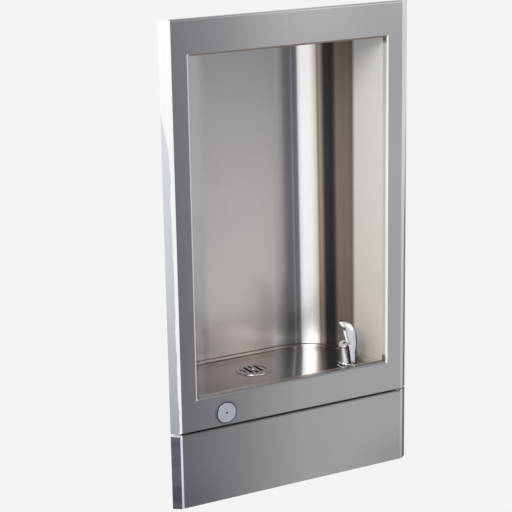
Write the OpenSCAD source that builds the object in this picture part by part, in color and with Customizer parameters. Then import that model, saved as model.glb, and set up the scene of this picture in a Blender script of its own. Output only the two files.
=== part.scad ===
// Recessed drinking fountain: a bevelled steel front around a deep alcove, with a hooded bubbler,
// a floor drain, a push button with its valve behind it, and an access panel below.
// Millimetres. Origin: the middle of the four wall bolts, on the plane of the wall.
// X runs to the right, Y into the wall and Z up.

/* [Front] */
// Width of the flat face between its side bevels
face_w = 430; // [415:5:450]
// Height of the whole front, face and access panel together
front_h = 810; // [795:5:840]
// How far each side bevel spreads outwards
bevel_out = 14; // [11:0.5:17]
// How far the face stands off the wall
face_standoff = 11; // [10.5:0.5:14]
// Sheet thickness of the face and the access panel
sheet_t = 1.5; // [1.2:0.1:1.8]
// Outside radius of the bend between face and bevel
bevel_bend_r = 6; // [4:0.5:8]
// Outside radius of the bends at the top, at the bottom and along the gap
edge_bend_r = 2.4; // [2:0.1:3]
// Height of the access panel
panel_h = 130; // [125:1:136]
// Gap between the access panel and the face above it
panel_gap = 2.2; // [1.6:0.2:3]
// How far the access panel drops when it is taken off
panel_drop = 16; // [14:1:18]

/* [Alcove] */
// Width of the face beside the opening
side_margin = 32.5; // [31:0.5:38]
// Height of the face above the opening
head_margin = 58; // [54:1:64]
// Height of the face below the opening
sill_h = 55.8; // [50:0.2:66]
// Outside radius of the bend round the opening
mouth_bend_r = 3.4; // [2.6:0.2:4]
// Depth of the folded edge round the opening, from the face
return_d = 12; // [10:1:14]
// Depth of the alcove, from the face to its back wall
alcove_depth = 184; // [170:2:200]
// Radius of the alcove's rear corners
corner_r = 95; // [80:1:100]
// Angle at which the alcove's sides close in towards the back
side_angle = 9; // [4:1:12]
// Sheet thickness of the alcove
alcove_t = 1.2; // [1:0.1:1.5]
// Drop from the opening's lower edge to the floor at the drain
floor_drop = 12; // [11:0.5:14]
// Rise of the floor for each millimetre away from the drain
floor_slope_share = 0.01; // [0.008:0.002:0.02]
// Height of the basin's upturned edge above the floor
basin_edge_h = 6; // [4:0.5:9]

/* [Wall frame] */
// Thickness of the wall frame's steel
wall_frame_t = 2; // [1.5:0.1:2.5]
// Depth of the wall frame behind the wall's surface
wall_frame_d = 60; // [50:5:70]
// Width of the flange that lies on the wall
wall_flange_w = 25; // [24:0.5:26]
// Clear space between the alcove and the wall frame
wall_frame_gap = 4.5; // [4:0.5:5]
// Radius of the four wall bolt holes
wall_bolt_r = 3.5; // [3:0.25:4]

/* [Bubbler] */
// Distance of the bubbler from the opening's right edge
bubbler_inset = 56.5; // [52:0.5:62]
// Distance of the bubbler from the face
bubbler_y = 35; // [34:1:38]
// Radius of the bubbler's base
bubbler_base_r = 17; // [16:0.5:18]
// Height of the bubbler's base
bubbler_base_h = 9; // [8:0.5:10]
// Height of the hood's tip over the base
hood_h = 75; // [70:0.5:90]
// Radius of the bubbler's threaded shank
shank_r = 9.5; // [9:0.25:10]
// Length of the shank below the basin
shank_l = 34; // [32:1:36]

/* [Drain] */
// Distance of the drain from the middle of the face, to the right
drain_x = -20; // [-30:1:-10]
// Distance of the drain from the face
drain_y = 110; // [105:1:115]
// Radius of the drain's flange
drain_flange_r = 30; // [28:0.5:32]
// Outside radius of the drain's threaded body
drain_body_r = 21.5; // [20.5:0.25:22]
// Length of the drain's threaded body below the floor
drain_body_l = 44; // [40:1:48]
// Outside radius of the tailpiece
tail_r = 15.9; // [15:0.1:16]
// Length of the tailpiece
tail_l = 104; // [90:2:110]

/* [Button] */
// Distance of the push button from the face's left edge
button_inset = 84; // [80:1:90]
// Height of the push button above the front's lower edge
button_z = 155; // [154:0.5:156]
// Radius of the push button
button_r = 17.4; // [16.8:0.1:17.6]
// How far the push button stands out of the face
button_proud = 2.6; // [2:0.2:3]
// How far the push button travels
button_travel = 4; // [3:0.5:4.5]
// Radius of the bezel round the push button
bezel_r = 21; // [20.5:0.25:21.5]
// Outside radius of the bezel's threaded sleeve
sleeve_r = 19.5; // [19.2:0.1:19.7]
// Length of the threaded sleeve behind the face
sleeve_l = 18; // [17:0.5:19]

/* [Valve and pipes] */
// Outside radius of the valve's body
valve_r = 14; // [13.5:0.25:14.5]
// Length of the valve's body
valve_l = 38; // [37:0.5:40]
// Radius of the push rod
rod_r = 4; // [3.5:0.25:4.25]
// Outside radius of the water tubes
tube_r = 4.76; // [4.5:0.02:5]
// Wall thickness of the water tubes
tube_wall = 0.9; // [0.7:0.1:1.1]
// Radius of the tubes' bends, to the middle of the tube
tube_bend_r = 18; // [16:1:20]
// Size across the flats of the compression nuts
nut_flats = 17; // [16:0.5:18]
// Length of the compression nuts
nut_l = 10; // [9:0.5:10.5]
// Height of the stop valve above the front's lower edge
stop_z = 48; // [47:0.5:49]
// Outside radius of the water inlet's thread
inlet_r = 10.4; // [10:0.1:11]

/* [Hidden] */
$fn = 72;

// Overrun of cuts past a surface
cut = 1;
// Clearance between parts that are seated but stay separate
seat_gap = 0.1;
// Radial clearance of running fits and threads
running_gap = 0.05;
// Clearance of plain screw holes, and of parts that pass each other
screw_gap = 0.3;

// Wall frame: places of its bolts and rails
bolt_inset = 24;
bottom_rail_z = 30;
head_rail_gap = 8.6;
bottom_flange_z = 6;
bolt_low_z = 18;

half_face = face_w / 2;
opening_w = face_w - 2 * side_margin;
half_opening = opening_w / 2;
face_low = panel_h + panel_gap;
opening_low = face_low + sill_h;
opening_top = front_h - head_margin;
opening_h = opening_top - opening_low;
bolt_high_z = front_h - bolt_inset;
bolt_mid_z = (bolt_low_z + bolt_high_z) / 2;
frame_half = half_opening + wall_frame_gap;
bolt_line_share = 0.56;
bolt_x = frame_half + wall_flange_w * bolt_line_share;

// Places across the face
bubbler_x = half_opening - bubbler_inset;
button_x = button_inset - half_face;

// Side bevel in plan
bevel_angle = atan2(face_standoff, bevel_out);
bevel_setback = bevel_bend_r * tan(bevel_angle / 2);
flat_half = half_face - bevel_setback;
bevel_steps = 8;

// Alcove in plan: steps of its rear corners, and centre of the right one
corner_steps = 36;
corner_y = alcove_depth - corner_r;
corner_x = half_opening
    - (corner_r + (corner_y - return_d) * sin(side_angle)) / cos(side_angle);

// Basin: its floor, its flat places and the alcove's overlap below the floor
floor_z = opening_low - floor_drop;
alcove_overlap = 8;
alcove_low = floor_z - alcove_overlap;
flat_margin = 2;
drain_flat_r = drain_flange_r + flat_margin;
bubbler_to_drain = norm([bubbler_x - drain_x, bubbler_y - drain_y]);
bubbler_aim_share = 0.86;
bubbler_turn = bubbler_aim_share * atan2(drain_y - bubbler_y, bubbler_x - drain_x);
pad_r = bubbler_base_r + flat_margin;
pad_rise = 0.3;
pad_z = floor_z + floor_slope_share * (bubbler_to_drain + pad_r - drain_flat_r) + pad_rise;

// Places the part, drawn from the front's lower middle, in its own frame
module from_front() {
    translate([0, -face_standoff, -bolt_mid_z]) children();
}

// Copies to the left and right
module both_sides() {
    children();
    mirror([1, 0, 0]) children();
}

// Outline in depth and height, drawn out along X and centred
module across(length) {
    translate([-length / 2, 0, 0]) rotate([90, 0, 90]) linear_extrude(length) children();
}

// Round bar or hole that runs into the wall from depth y
module along_y(y, length, r, r2 = -1) {
    translate([0, y, 0]) rotate([-90, 0, 0]) cylinder(h = length, r1 = r, r2 = r2 < 0 ? r : r2);
}

// Points along an arc, and an outline's right half joined to its mirror image
function arc_points(centre, r, from, to, steps) = [for (i = [0 : steps])
    let (a = from + (to - from) * i / steps) centre + r * [cos(a), sin(a)]];
function two_sided(right) = concat(right,
    [for (i = [len(right) - 1 : -1 : 0]) [-right[i][0], right[i][1]]]);

// Slice of a round bend between two directions, centred on the bend's axis
module bend_slice(r, from, to) {
    intersection() {
        circle(r);
        polygon([[0, 0], 2 * r * from, 2 * r * (from + to), 2 * r * to]);
    }
}

// Six-sided nut along Z with a round bore
module hex_nut(flats, height, bore_r) {
    difference() {
        cylinder(h = height, r = flats / 2 / cos(30), $fn = 6);
        translate([0, 0, -cut]) cylinder(h = height + 2 * cut, r = bore_r);
    }
}

// Pan in plan, with its bends between face and bevels: the whole outline, or inset by a sheet
module pan_outline(inset, back) {
    r = bevel_bend_r - inset;
    bend = arc_points([flat_half, bevel_bend_r], r, -90, bevel_angle - 90, bevel_steps);
    last = bend[bevel_steps];
    end = [last[0] + (back - last[1]) * bevel_out / face_standoff, back];
    polygon(two_sided(concat(bend, [end])));
}

// Pan from the side, with its bends along the top and the bottom
module pan_side(low, high, inset, back) {
    r = edge_bend_r - inset;
    front = inset + r;
    polygon([[back, low], [front, low], [inset, low + r], [inset, high - r], [front, high],
        [back, high]]);
    translate([front, low + r]) bend_slice(r, [-1, 0], [0, -1]);
    translate([front, high - r]) bend_slice(r, [-1, 0], [0, 1]);
}

// Shallow pan of sheet: flat front, side bevels and a flange along the top and the bottom
module pan_body(low, high, inset, back) {
    intersection() {
        translate([0, 0, low]) linear_extrude(high - low) pan_outline(inset, back);
        across(2 * face_w) pan_side(low, high, inset, back);
    }
}
module pan(low, high) {
    difference() {
        pan_body(low, high, 0, face_standoff);
        pan_body(low + sheet_t, high - sheet_t, sheet_t, face_standoff + cut);
    }
}

// Leaves a pan's flange shallow along the gap, shallower where the fixing tabs are, with an ear
// behind each bevel
ear_inset = 2.5;
tongue_half = half_opening - ear_inset;
module gap_flange_cut(z, depth) {
    translate([ear_inset - half_face, depth, z - cut])
        cube([2 * (half_face - ear_inset), face_standoff, sheet_t + 2 * cut]);
    both_sides() translate([tongue_half, edge_bend_r + seat_gap, z - cut])
        cube([half_face - ear_inset - tongue_half, face_standoff, sheet_t + 2 * cut]);
}

// Folded edge round the opening: distance outwards from the edge, then depth
mouth_lap = 2;
module mouth_edge(inset) {
    r = mouth_bend_r - inset;
    polygon([[inset, return_d + inset], [inset, inset + r], [inset + r, inset],
        [mouth_bend_r + mouth_lap + inset, inset],
        [mouth_bend_r + mouth_lap + inset, return_d + inset]]);
    translate([mouth_bend_r, mouth_bend_r]) bend_slice(r, [-1, 0], [0, -1]);
}
module mouth_profile() {
    difference() {
        mouth_edge(0);
        mouth_edge(sheet_t);
    }
}

// Front face
face_flange_d = 4.6;
module front_panel() color([0.66, 0.66, 0.67]) from_front() {
    difference() {
        pan(face_low, front_h);
        gap_flange_cut(face_low, face_flange_d);
        translate([-half_opening - mouth_bend_r, -cut, opening_low - mouth_bend_r])
            cube([opening_w + 2 * mouth_bend_r, sheet_t + 2 * cut, opening_h + 2 * mouth_bend_r]);
        translate([button_x, 0, button_z]) along_y(-cut, sheet_t + 2 * cut, sleeve_r + seat_gap);
    }
    both_sides() translate([half_opening, 0, opening_low - mouth_bend_r])
        linear_extrude(opening_h + 2 * mouth_bend_r) mouth_profile();
    translate([0, 0, opening_top]) across(opening_w + 2 * mouth_bend_r)
        mirror([1, -1]) mouth_profile();
    translate([0, 0, opening_low]) mirror([0, 0, 1]) across(opening_w + 2 * mouth_bend_r)
        mirror([1, -1]) mouth_profile();
}

// Access panel with the tongue that tucks up behind the face
panel_flange_d = 6.6;
tongue_h = 8;
tongue_clear = 12;
strip_clear = 1;
panel_screw_inset = 85;
panel_screw_x = half_face - panel_screw_inset;
panel_screw_y = 5.4;
panel_screw_r = 2;
panel_screw_head_r = 3.6;
panel_screw_head_h = 1.3;
panel_screw_l = 12;
module access_panel() color([0.62, 0.62, 0.63]) from_front() {
    difference() {
        pan(0, panel_h);
        gap_flange_cut(panel_h - sheet_t, panel_flange_d);
        both_sides() translate([panel_screw_x, panel_screw_y, 0]) {
            translate([0, 0, -cut])
                cylinder(h = sheet_t + 2 * cut, r = panel_screw_r + seat_gap);
            translate([0, 0, -seat_gap]) cylinder(h = panel_screw_head_h + seat_gap,
                r1 = panel_screw_head_r + seat_gap, r2 = panel_screw_r + seat_gap);
        }
    }
    tongue_x = button_x + sleeve_r + tongue_clear;
    translate([tongue_x, panel_flange_d - sheet_t, panel_h - sheet_t])
        cube([tongue_half - tongue_x, sheet_t, tongue_h + sheet_t]);
    strip_half = bolt_x - tab_head_r - strip_clear;
    translate([-strip_half, panel_flange_d - sheet_t, panel_h - sheet_t])
        cube([2 * strip_half, sheet_t, panel_gap + 2 * sheet_t]);
}

// Captive screws that hold the access panel from below
socket_r = 1.2;
socket_h = 1.2;
module panel_screws() color([0.75, 0.75, 0.76]) from_front()
    both_sides() translate([panel_screw_x, panel_screw_y, 0]) difference() {
        union() {
            cylinder(h = panel_screw_l, r = panel_screw_r);
            cylinder(h = panel_screw_head_h, r1 = panel_screw_head_r, r2 = panel_screw_r);
        }
        translate([0, 0, -cut]) cylinder(h = socket_h + cut, r = socket_r, $fn = 6);
    }

// Angle brackets behind the access panel's lower flange
bracket_w = 24;
bracket_t = 2;
bracket_low = sheet_t + screw_gap;
bracket_gap = 0.4;
bracket_front = sheet_t + bracket_gap;
bracket_back = face_standoff - wall_frame_t;
module panel_brackets() color([0.7, 0.71, 0.72]) from_front()
    both_sides() translate([panel_screw_x - bracket_w / 2, 0, bracket_low]) difference() {
        union() {
            translate([0, bracket_front, 0])
                cube([bracket_w, bracket_back - bracket_front, bracket_t]);
            translate([0, bracket_back - bracket_t, 0])
                cube([bracket_w, bracket_t, bottom_rail_z - bracket_low]);
        }
        translate([bracket_w / 2, panel_screw_y, -cut])
            cylinder(h = panel_screw_l, r = panel_screw_r + bracket_gap);
        translate([bracket_w / 2, panel_screw_y, bracket_t])
            cylinder(h = panel_nut_h + seat_gap, r = panel_nut_r + seat_gap);
    }

// Round weld nuts on the brackets
panel_nut_r = 3.2;
panel_nut_h = 4;
module panel_nuts() color([0.75, 0.72, 0.6]) from_front()
    both_sides() translate([panel_screw_x, panel_screw_y, bracket_low + bracket_t])
        difference() {
            cylinder(h = panel_nut_h, r = panel_nut_r);
            translate([0, 0, -cut])
                cylinder(h = panel_nut_h + 2 * cut, r = panel_screw_r + running_gap);
        }

// Wall frame: a flange on the wall and a box that lines the recess
wall_flange_over = 14;
module mounting_frame() color([0.72, 0.74, 0.75]) from_front() {
    head_rail_z = opening_top + head_rail_gap;
    flange_top = bolt_high_z + wall_flange_over;
    box_h = head_rail_z - bottom_rail_z;
    difference() {
        union() {
            translate([-frame_half - wall_flange_w, bracket_back, bottom_flange_z])
                cube([2 * (frame_half + wall_flange_w), wall_frame_t,
                    flange_top - bottom_flange_z]);
            translate([-frame_half - wall_frame_t, bracket_back, bottom_rail_z - wall_frame_t])
                cube([2 * (frame_half + wall_frame_t), wall_frame_t + wall_frame_d,
                    box_h + 2 * wall_frame_t]);
        }
        translate([-frame_half, bracket_back - cut, bottom_rail_z])
            cube([2 * frame_half, wall_frame_t + wall_frame_d + 2 * cut, box_h]);
        both_sides() {
            for (z = [bolt_low_z, bolt_high_z])
                translate([bolt_x, 0, z])
                    along_y(bracket_back - cut, wall_frame_t + 2 * cut, wall_bolt_r);
            translate([bolt_x, 0, tab_screw_z])
                along_y(bracket_back - cut, wall_frame_t + 2 * cut, tab_screw_r + running_gap);
        }
    }
}

// Cleats on the wall frame that the front hangs on
cleat_x_inset = 125;
cleat_x = half_face - cleat_x_inset;
cleat_w = 60;
cleat_t = 1.5;
cleat_inset = 46;
cleat_low = front_h - cleat_inset;
cleat_reach = 4.8;
cleat_shelf_h = 14;
cleat_top = 26;
module frame_cleats() color([0.7, 0.71, 0.72]) from_front()
    both_sides() translate([cleat_x - cleat_w / 2, 0, cleat_low]) {
        translate([0, bracket_back - cleat_t, 0]) cube([cleat_w, cleat_t, cleat_shelf_h]);
        translate([0, bracket_back - cleat_reach, cleat_shelf_h - cleat_t])
            cube([cleat_w, cleat_reach, cleat_t]);
        translate([0, bracket_back - cleat_reach, cleat_shelf_h - cleat_t])
            cube([cleat_w, cleat_t, cleat_top - cleat_shelf_h]);
    }

// Hooks on the back of the face that drop over the cleats
hook_plate_h = 12;
hook_reach = 6.2;
hook_lip_t = 1.2;
hook_lip_h = 8;
module hook_cleats() color([0.7, 0.71, 0.72]) from_front() {
    top = cleat_low + cleat_top - cleat_t + screw_gap;
    both_sides() translate([cleat_x - cleat_w / 2, sheet_t, top]) {
        translate([0, 0, -hook_plate_h]) cube([cleat_w, cleat_t, hook_plate_h + cleat_t]);
        cube([cleat_w, hook_reach, cleat_t]);
        translate([0, hook_reach - hook_lip_t, -hook_lip_h])
            cube([cleat_w, hook_lip_t, hook_lip_h]);
    }
}

// Bent tabs behind the face's lower corners, reached with the access panel off
tab_w = 20;
tab_t = 2;
tab_low = 104;
tab_step_z = 150;
tab_top = 172;
tab_screw_z = 118;
tab_screw_r = 2.5;
tab_head_r = 4.6;
tab_head_h = 2.8;
tab_screw_l = 12;
module fixing_tabs() color([0.68, 0.69, 0.7]) from_front()
    both_sides() translate([bolt_x - tab_w / 2, 0, 0]) difference() {
        union() {
            translate([0, bracket_back - tab_t, tab_low])
                cube([tab_w, tab_t, tab_step_z - tab_low]);
            translate([0, sheet_t, tab_step_z])
                cube([tab_w, bracket_back - sheet_t, tab_t]);
            translate([0, sheet_t, tab_step_z]) cube([tab_w, tab_t, tab_top - tab_step_z]);
        }
        translate([tab_w / 2, 0, tab_screw_z])
            along_y(bracket_back - tab_t - cut, tab_t + 2 * cut, tab_screw_r + screw_gap);
    }

// Screws that hold the tabs to the wall frame
module tab_screws() color([0.8, 0.8, 0.81]) from_front()
    both_sides() translate([bolt_x, 0, tab_screw_z]) {
        head_y = bracket_back - tab_t - tab_head_h;
        difference() {
            along_y(head_y, tab_head_h, tab_head_r);
            translate([0, head_y - cut, 0]) rotate([-90, 0, 0])
                cylinder(h = tab_head_h / 2 + cut, r = tab_screw_r, $fn = 6);
        }
        along_y(head_y + tab_head_h, tab_screw_l, tab_screw_r);
    }

// Alcove's inner outline in plan, larger all round by a sheet or smaller by a clearance
module alcove_outline(grow) {
    front = [half_opening + grow / cos(side_angle), return_d];
    corner = arc_points([corner_x, corner_y], corner_r + grow, side_angle, 90, corner_steps);
    polygon(two_sided(concat([front], corner)));
}

// Alcove: back, rear corners and sides in one bent sheet
module alcove_wall() color([0.68, 0.67, 0.66]) from_front()
    translate([0, 0, alcove_low]) linear_extrude(opening_top - alcove_low) difference() {
        alcove_outline(alcove_t);
        alcove_outline(0);
    }

// Block that fills the alcove's outline
module alcove_block(low, height, grow) {
    translate([0, 0, low]) linear_extrude(height) alcove_outline(grow);
}

// Top of the alcove
module alcove_ceiling() color([0.6, 0.59, 0.58]) from_front()
    alcove_block(opening_top, alcove_t, alcove_t);

// Basin: a floor that falls to the drain from all sides, an edge turned up along the alcove,
// and a rim behind the front edge
basin_rim_t = 1.2;
pad_t = 3 * alcove_t;
drain_hole_gap = 0.6;
shank_hole_gap = 0.5;
module basin() color([0.6, 0.57, 0.54]) from_front() {
    reach = opening_w;
    rise = floor_slope_share * (reach - drain_flat_r);
    difference() {
        union() {
            intersection() {
                alcove_block(alcove_low, floor_drop + alcove_overlap, -seat_gap);
                translate([drain_x, drain_y, floor_z]) rotate_extrude()
                    polygon([[0, 0], [0, -alcove_t], [drain_flat_r, -alcove_t],
                        [reach, rise - alcove_t], [reach, rise], [drain_flat_r, 0]]);
            }
            intersection() {
                alcove_block(floor_z, floor_drop, -seat_gap);
                translate([-half_opening, return_d - cut, floor_z])
                    cube([opening_w, basin_rim_t + cut, floor_drop]);
            }
            translate([0, 0, floor_z]) linear_extrude(basin_edge_h) difference() {
                alcove_outline(-seat_gap);
                alcove_outline(-seat_gap - alcove_t);
            }
            translate([bubbler_x, bubbler_y, pad_z - pad_t]) cylinder(h = pad_t, r = pad_r);
        }
        translate([drain_x, drain_y, floor_z - alcove_t - cut])
            cylinder(h = alcove_t + 2 * cut, r = drain_body_r + drain_hole_gap);
        translate([bubbler_x, bubbler_y, pad_z - pad_t - cut])
            cylinder(h = pad_t + 2 * cut, r = shank_r + shank_hole_gap);
    }
}

// Bubbler: places that its pieces share; it is drawn along X and turned towards the drain
gasket_t = 1;
gasket_inset = 0.6;
base_z = pad_z + gasket_t;
base_top = base_z + bubbler_base_h;
base_edge_r = 1;
base_foot_h = 4;
base_waist = 0.8;
port_r = tube_r + running_gap;
port_depth = 12;
bore_cap = 3;
shank_end = pad_z - shank_l;
module at_bubbler() from_front() translate([bubbler_x, bubbler_y, 0])
    rotate([0, 0, -bubbler_turn]) children();

// Round base of the bubbler with its threaded shank
module bubbler_base() color([0.82, 0.83, 0.85]) at_bubbler() difference() {
    union() {
        upper_r = bubbler_base_r - base_waist;
        translate([0, 0, base_z]) rotate_extrude() {
            square([bubbler_base_r, base_foot_h - base_edge_r]);
            square([bubbler_base_r - base_edge_r, base_foot_h]);
            translate([bubbler_base_r - base_edge_r, base_foot_h - base_edge_r])
                circle(base_edge_r);
            square([upper_r, bubbler_base_h - base_edge_r]);
            square([upper_r - base_edge_r, bubbler_base_h]);
            translate([upper_r - base_edge_r, bubbler_base_h - base_edge_r])
                circle(base_edge_r);
        }
        translate([0, 0, shank_end]) cylinder(h = base_z - shank_end + cut, r = shank_r);
    }
    translate([0, 0, shank_end - cut]) cylinder(h = port_depth + cut, r = port_r);
    translate([0, 0, shank_end])
        cylinder(h = base_top - shank_end - bore_cap, r = tube_r - tube_wall);
}

// Rubber ring under the base
module bubbler_gasket() color([0.12, 0.12, 0.12]) at_bubbler() translate([0, 0, pad_z])
    difference() {
        cylinder(h = gasket_t, r = bubbler_base_r - gasket_inset);
        translate([0, 0, -cut]) cylinder(h = gasket_t + 2 * cut, r = shank_r + seat_gap);
    }

// Brass washer and locknut that clamp the bubbler under the basin
washer_t = 1.5;
washer_over = 6;
nut_over = 8;
pad_under = pad_z - pad_t;
bubbler_nut_h = 7;
module bubbler_washer() color([0.78, 0.66, 0.38]) at_bubbler()
    translate([0, 0, pad_under - washer_t]) difference() {
        cylinder(h = washer_t, r = shank_r + washer_over);
        translate([0, 0, -cut]) cylinder(h = washer_t + 2 * cut, r = shank_r + seat_gap);
    }
module bubbler_locknut() color([0.78, 0.66, 0.38]) at_bubbler()
    translate([0, 0, pad_under - washer_t - bubbler_nut_h])
        hex_nut(2 * shank_r + nut_over, bubbler_nut_h, shank_r + running_gap);

// Nozzle: a leaning tapered column with a tilted round head
nozzle_x = -5.8;
nozzle_lean = 5.3;
nozzle_low_r = 8.2;
nozzle_high_r = 4.4;
nozzle_l = 31.8;
head_r = 8.8;
head_t = 3.6;
head_tilt = 28.5;
head_lean = 22;
orifice_r = 2.6;
orifice_inset = 0.8;
orifice_shift = 2.5;
head_shift = -1.2;
head_lift = 32.1;
module at_nozzle_head() at_bubbler()
    translate([nozzle_x + head_shift, 0, base_top + head_lift]) rotate([head_lean, -head_tilt, 0])
        children();
module bubbler_nozzle() color([0.82, 0.83, 0.85]) difference() {
    union() {
        at_bubbler() intersection() {
            translate([nozzle_x, 0, base_top - cut]) rotate([0, -nozzle_lean, 0])
                cylinder(h = nozzle_l + cut, r1 = nozzle_low_r, r2 = nozzle_high_r);
            translate([nozzle_x - 2 * nozzle_low_r, -2 * nozzle_low_r, base_top])
                cube([4 * nozzle_low_r, 4 * nozzle_low_r, 2 * nozzle_l]);
        }
        at_nozzle_head() rotate_extrude() {
            translate([0, -head_t / 2]) square([head_r - head_t / 2, head_t]);
            translate([head_r - head_t / 2, 0]) intersection() {
                circle(head_t / 2);
                translate([0, -head_t]) square([head_t, 2 * head_t]);
            }
        }
    }
    at_nozzle_head() translate([orifice_shift, 0, -head_t])
        cylinder(h = 2 * head_t, r = orifice_r);
}

// Orifice plug in the nozzle's head
module bubbler_orifice() color([0.7, 0.68, 0.6]) at_nozzle_head()
    translate([orifice_shift, 0, -head_t]) difference() {
        cylinder(h = 1.5 * head_t - orifice_inset, r = orifice_r - running_gap);
        translate([0, 0, -cut]) cylinder(h = 2 * head_t, r = orifice_r * 0.5);
    }

// Hood: sections of a channel that rises from the base and leans over the nozzle.
// Each row: open edge x and z, ridge x and z, half width; x and width as shares of the base's
// radius, z as shares of the hood's height
hood_shares = [
    [0.235, 0.00, 1.00, 0.00, 0.88],
    [0.225, 0.11, 1.00, 0.13, 0.88],
    [0.147, 0.26, 1.00, 0.30, 0.86],
    [0.05, 0.41, 1.00, 0.46, 0.82],
    [-0.107, 0.50, 0.99, 0.58, 0.76],
    [-0.277, 0.59, 0.95, 0.69, 0.68],
    [-0.35, 0.68, 0.80, 0.785, 0.60],
    [-0.415, 0.77, 0.55, 0.87, 0.53],
    [-0.52, 0.85, 0.22, 0.94, 0.47],
    [-0.68, 0.915, -0.18, 0.985, 0.41],
    [-0.80, 0.955, -0.56, 1.00, 0.34],
    [-0.86, 0.97, -0.80, 0.99, 0.26]];
hood_wall_share = 0.16;
hood_edge_share = 0.04;
hood_steps = 10;
hood_smooth = 3;
// Value of a column of the table at a fractional row, smoothed through its neighbours
function hood_at(t, c) =
    let (n = len(hood_shares) - 1, i = min(floor(t), n - 1), f = t - i,
        a = hood_shares[max(i - 1, 0)][c], b = hood_shares[i][c],
        d = hood_shares[i + 1][c], e = hood_shares[min(i + 2, n)][c])
    b + 0.5 * f * (d - a + f * (2 * a - 5 * b + 4 * d - e + f * (3 * (b - d) + e - a)));
function hood_ring(t) =
    let (ex = hood_at(t, 0) * bubbler_base_r, ez = hood_at(t, 1) * hood_h,
        rx = hood_at(t, 2) * bubbler_base_r, rz = hood_at(t, 3) * hood_h,
        w = hood_at(t, 4) * bubbler_base_r, inner = 1 - hood_wall_share)
    concat(
        [for (i = [0 : hood_steps]) let (a = 180 * i / hood_steps)
            [ex + (rx - ex) * sin(a), -w * cos(a), ez + (rz - ez) * sin(a)]],
        [for (i = [0 : hood_steps]) let (a = 180 - 180 * i / hood_steps)
            let (f = hood_edge_share + (inner - hood_edge_share) * sin(a))
            [ex + (rx - ex) * f, -w * inner * cos(a), ez + (rz - ez) * f]]);
module bubbler_hood() color([0.84, 0.85, 0.87]) at_bubbler() translate([0, 0, base_top]) {
    rows = (len(hood_shares) - 1) * hood_smooth;
    n = 2 * (hood_steps + 1);
    points = [for (k = [0 : rows]) each hood_ring(k / hood_smooth)];
    sides = [for (k = [0 : rows - 1], i = [0 : n - 1]) let (j = (i + 1) % n)
        each [[k * n + i, (k + 1) * n + j, k * n + j],
            [k * n + i, (k + 1) * n + i, (k + 1) * n + j]]];
    // Both ends are closed by strips between the outer and the inner arc
    ends = [for (i = [0 : hood_steps - 1]) let (o = n - 1 - i)
        each [[i, i + 1, o - 1], [i, o - 1, o],
            [rows * n + i, rows * n + o - 1, rows * n + i + 1],
            [rows * n + i, rows * n + o, rows * n + o - 1]]];
    polyhedron(points = points, faces = concat(sides, ends), convexity = 4);
}

// Drain: places that its pieces share
drain_flange_t = 1.6;
drain_wall = 2.5;
drain_bore_r = drain_body_r - drain_wall;
flange_lip = 3.8;
flange_slant = 1;
strainer_r = drain_flange_r - flange_lip;
strainer_gap = 0.4;
strainer_t = 1;
module at_drain() from_front() translate([drain_x, drain_y, floor_z]) children();

// Flange, threaded body and crossbar of the drain
drain_bar_w = 8;
drain_bar_t = 4;
drain_bar_z = -9;
strainer_screw_r = 2.4;
module drain_flange() color([0.8, 0.8, 0.79]) at_drain() difference() {
    union() {
        difference() {
            union() {
                cylinder(h = drain_flange_t, r1 = drain_flange_r,
                    r2 = drain_flange_r - flange_slant);
                translate([0, 0, -drain_body_l])
                    cylinder(h = drain_body_l + cut / 2, r = drain_body_r);
            }
            translate([0, 0, -drain_body_l - cut])
                cylinder(h = drain_body_l + 2 * drain_flange_t, r = drain_bore_r);
        }
        translate([-drain_bore_r - cut, -drain_bar_w / 2, drain_bar_z])
            cube([2 * (drain_bore_r + cut), drain_bar_w, drain_bar_t]);
    }
    translate([0, 0, drain_flange_t - strainer_t - seat_gap])
        cylinder(h = drain_flange_t, r = strainer_r + strainer_gap);
    translate([0, 0, drain_bar_z - cut])
        cylinder(h = drain_bar_t + 2 * cut, r = strainer_screw_r + running_gap);
}

// Slotted strainer plate
slot_w = 5;
slot_pitch = 10;
slot_l_shares = [0.62, 0.36];
end_slot_l_share = 2.2;
end_slot_gap = 9;
screw_head_r = 4.2;
module strainer_slot(length) {
    translate([0, 0, -cut]) linear_extrude(strainer_t + 2 * cut) {
        translate([-slot_w / 2, -(length - slot_w) / 2]) square([slot_w, length - slot_w]);
        for (s = [-1, 1]) translate([0, s * (length - slot_w) / 2]) circle(d = slot_w);
    }
}
module drain_strainer() color([0.78, 0.78, 0.77]) at_drain()
    translate([0, 0, drain_flange_t - strainer_t]) difference() {
        cylinder(h = strainer_t, r = strainer_r);
        for (k = [1, 2], s = [-1, 1])
            translate([s * k * slot_pitch, 0, 0])
                strainer_slot(2 * strainer_r * slot_l_shares[k - 1]);
        for (s = [-1, 1]) translate([0, s * (screw_head_r + end_slot_gap), 0])
            strainer_slot(end_slot_l_share * slot_w);
        translate([0, 0, -cut])
            cylinder(h = strainer_t + 2 * cut, r = strainer_screw_r + screw_gap);
    }

// Screw in the middle of the strainer
screw_head_h = 2;
screw_slot_w = 1;
screw_end = 2;
module strainer_screw() color([0.72, 0.72, 0.7]) at_drain() {
    translate([0, 0, drain_flange_t]) difference() {
        cylinder(h = screw_head_h, r1 = screw_head_r, r2 = screw_head_r * 0.7);
        translate([-2 * screw_head_r, -screw_slot_w / 2, screw_head_h / 2])
            cube([4 * screw_head_r, screw_slot_w, screw_head_h]);
    }
    translate([0, 0, drain_bar_z - screw_end])
        cylinder(h = drain_flange_t - drain_bar_z + screw_end, r = strainer_screw_r);
}

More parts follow.
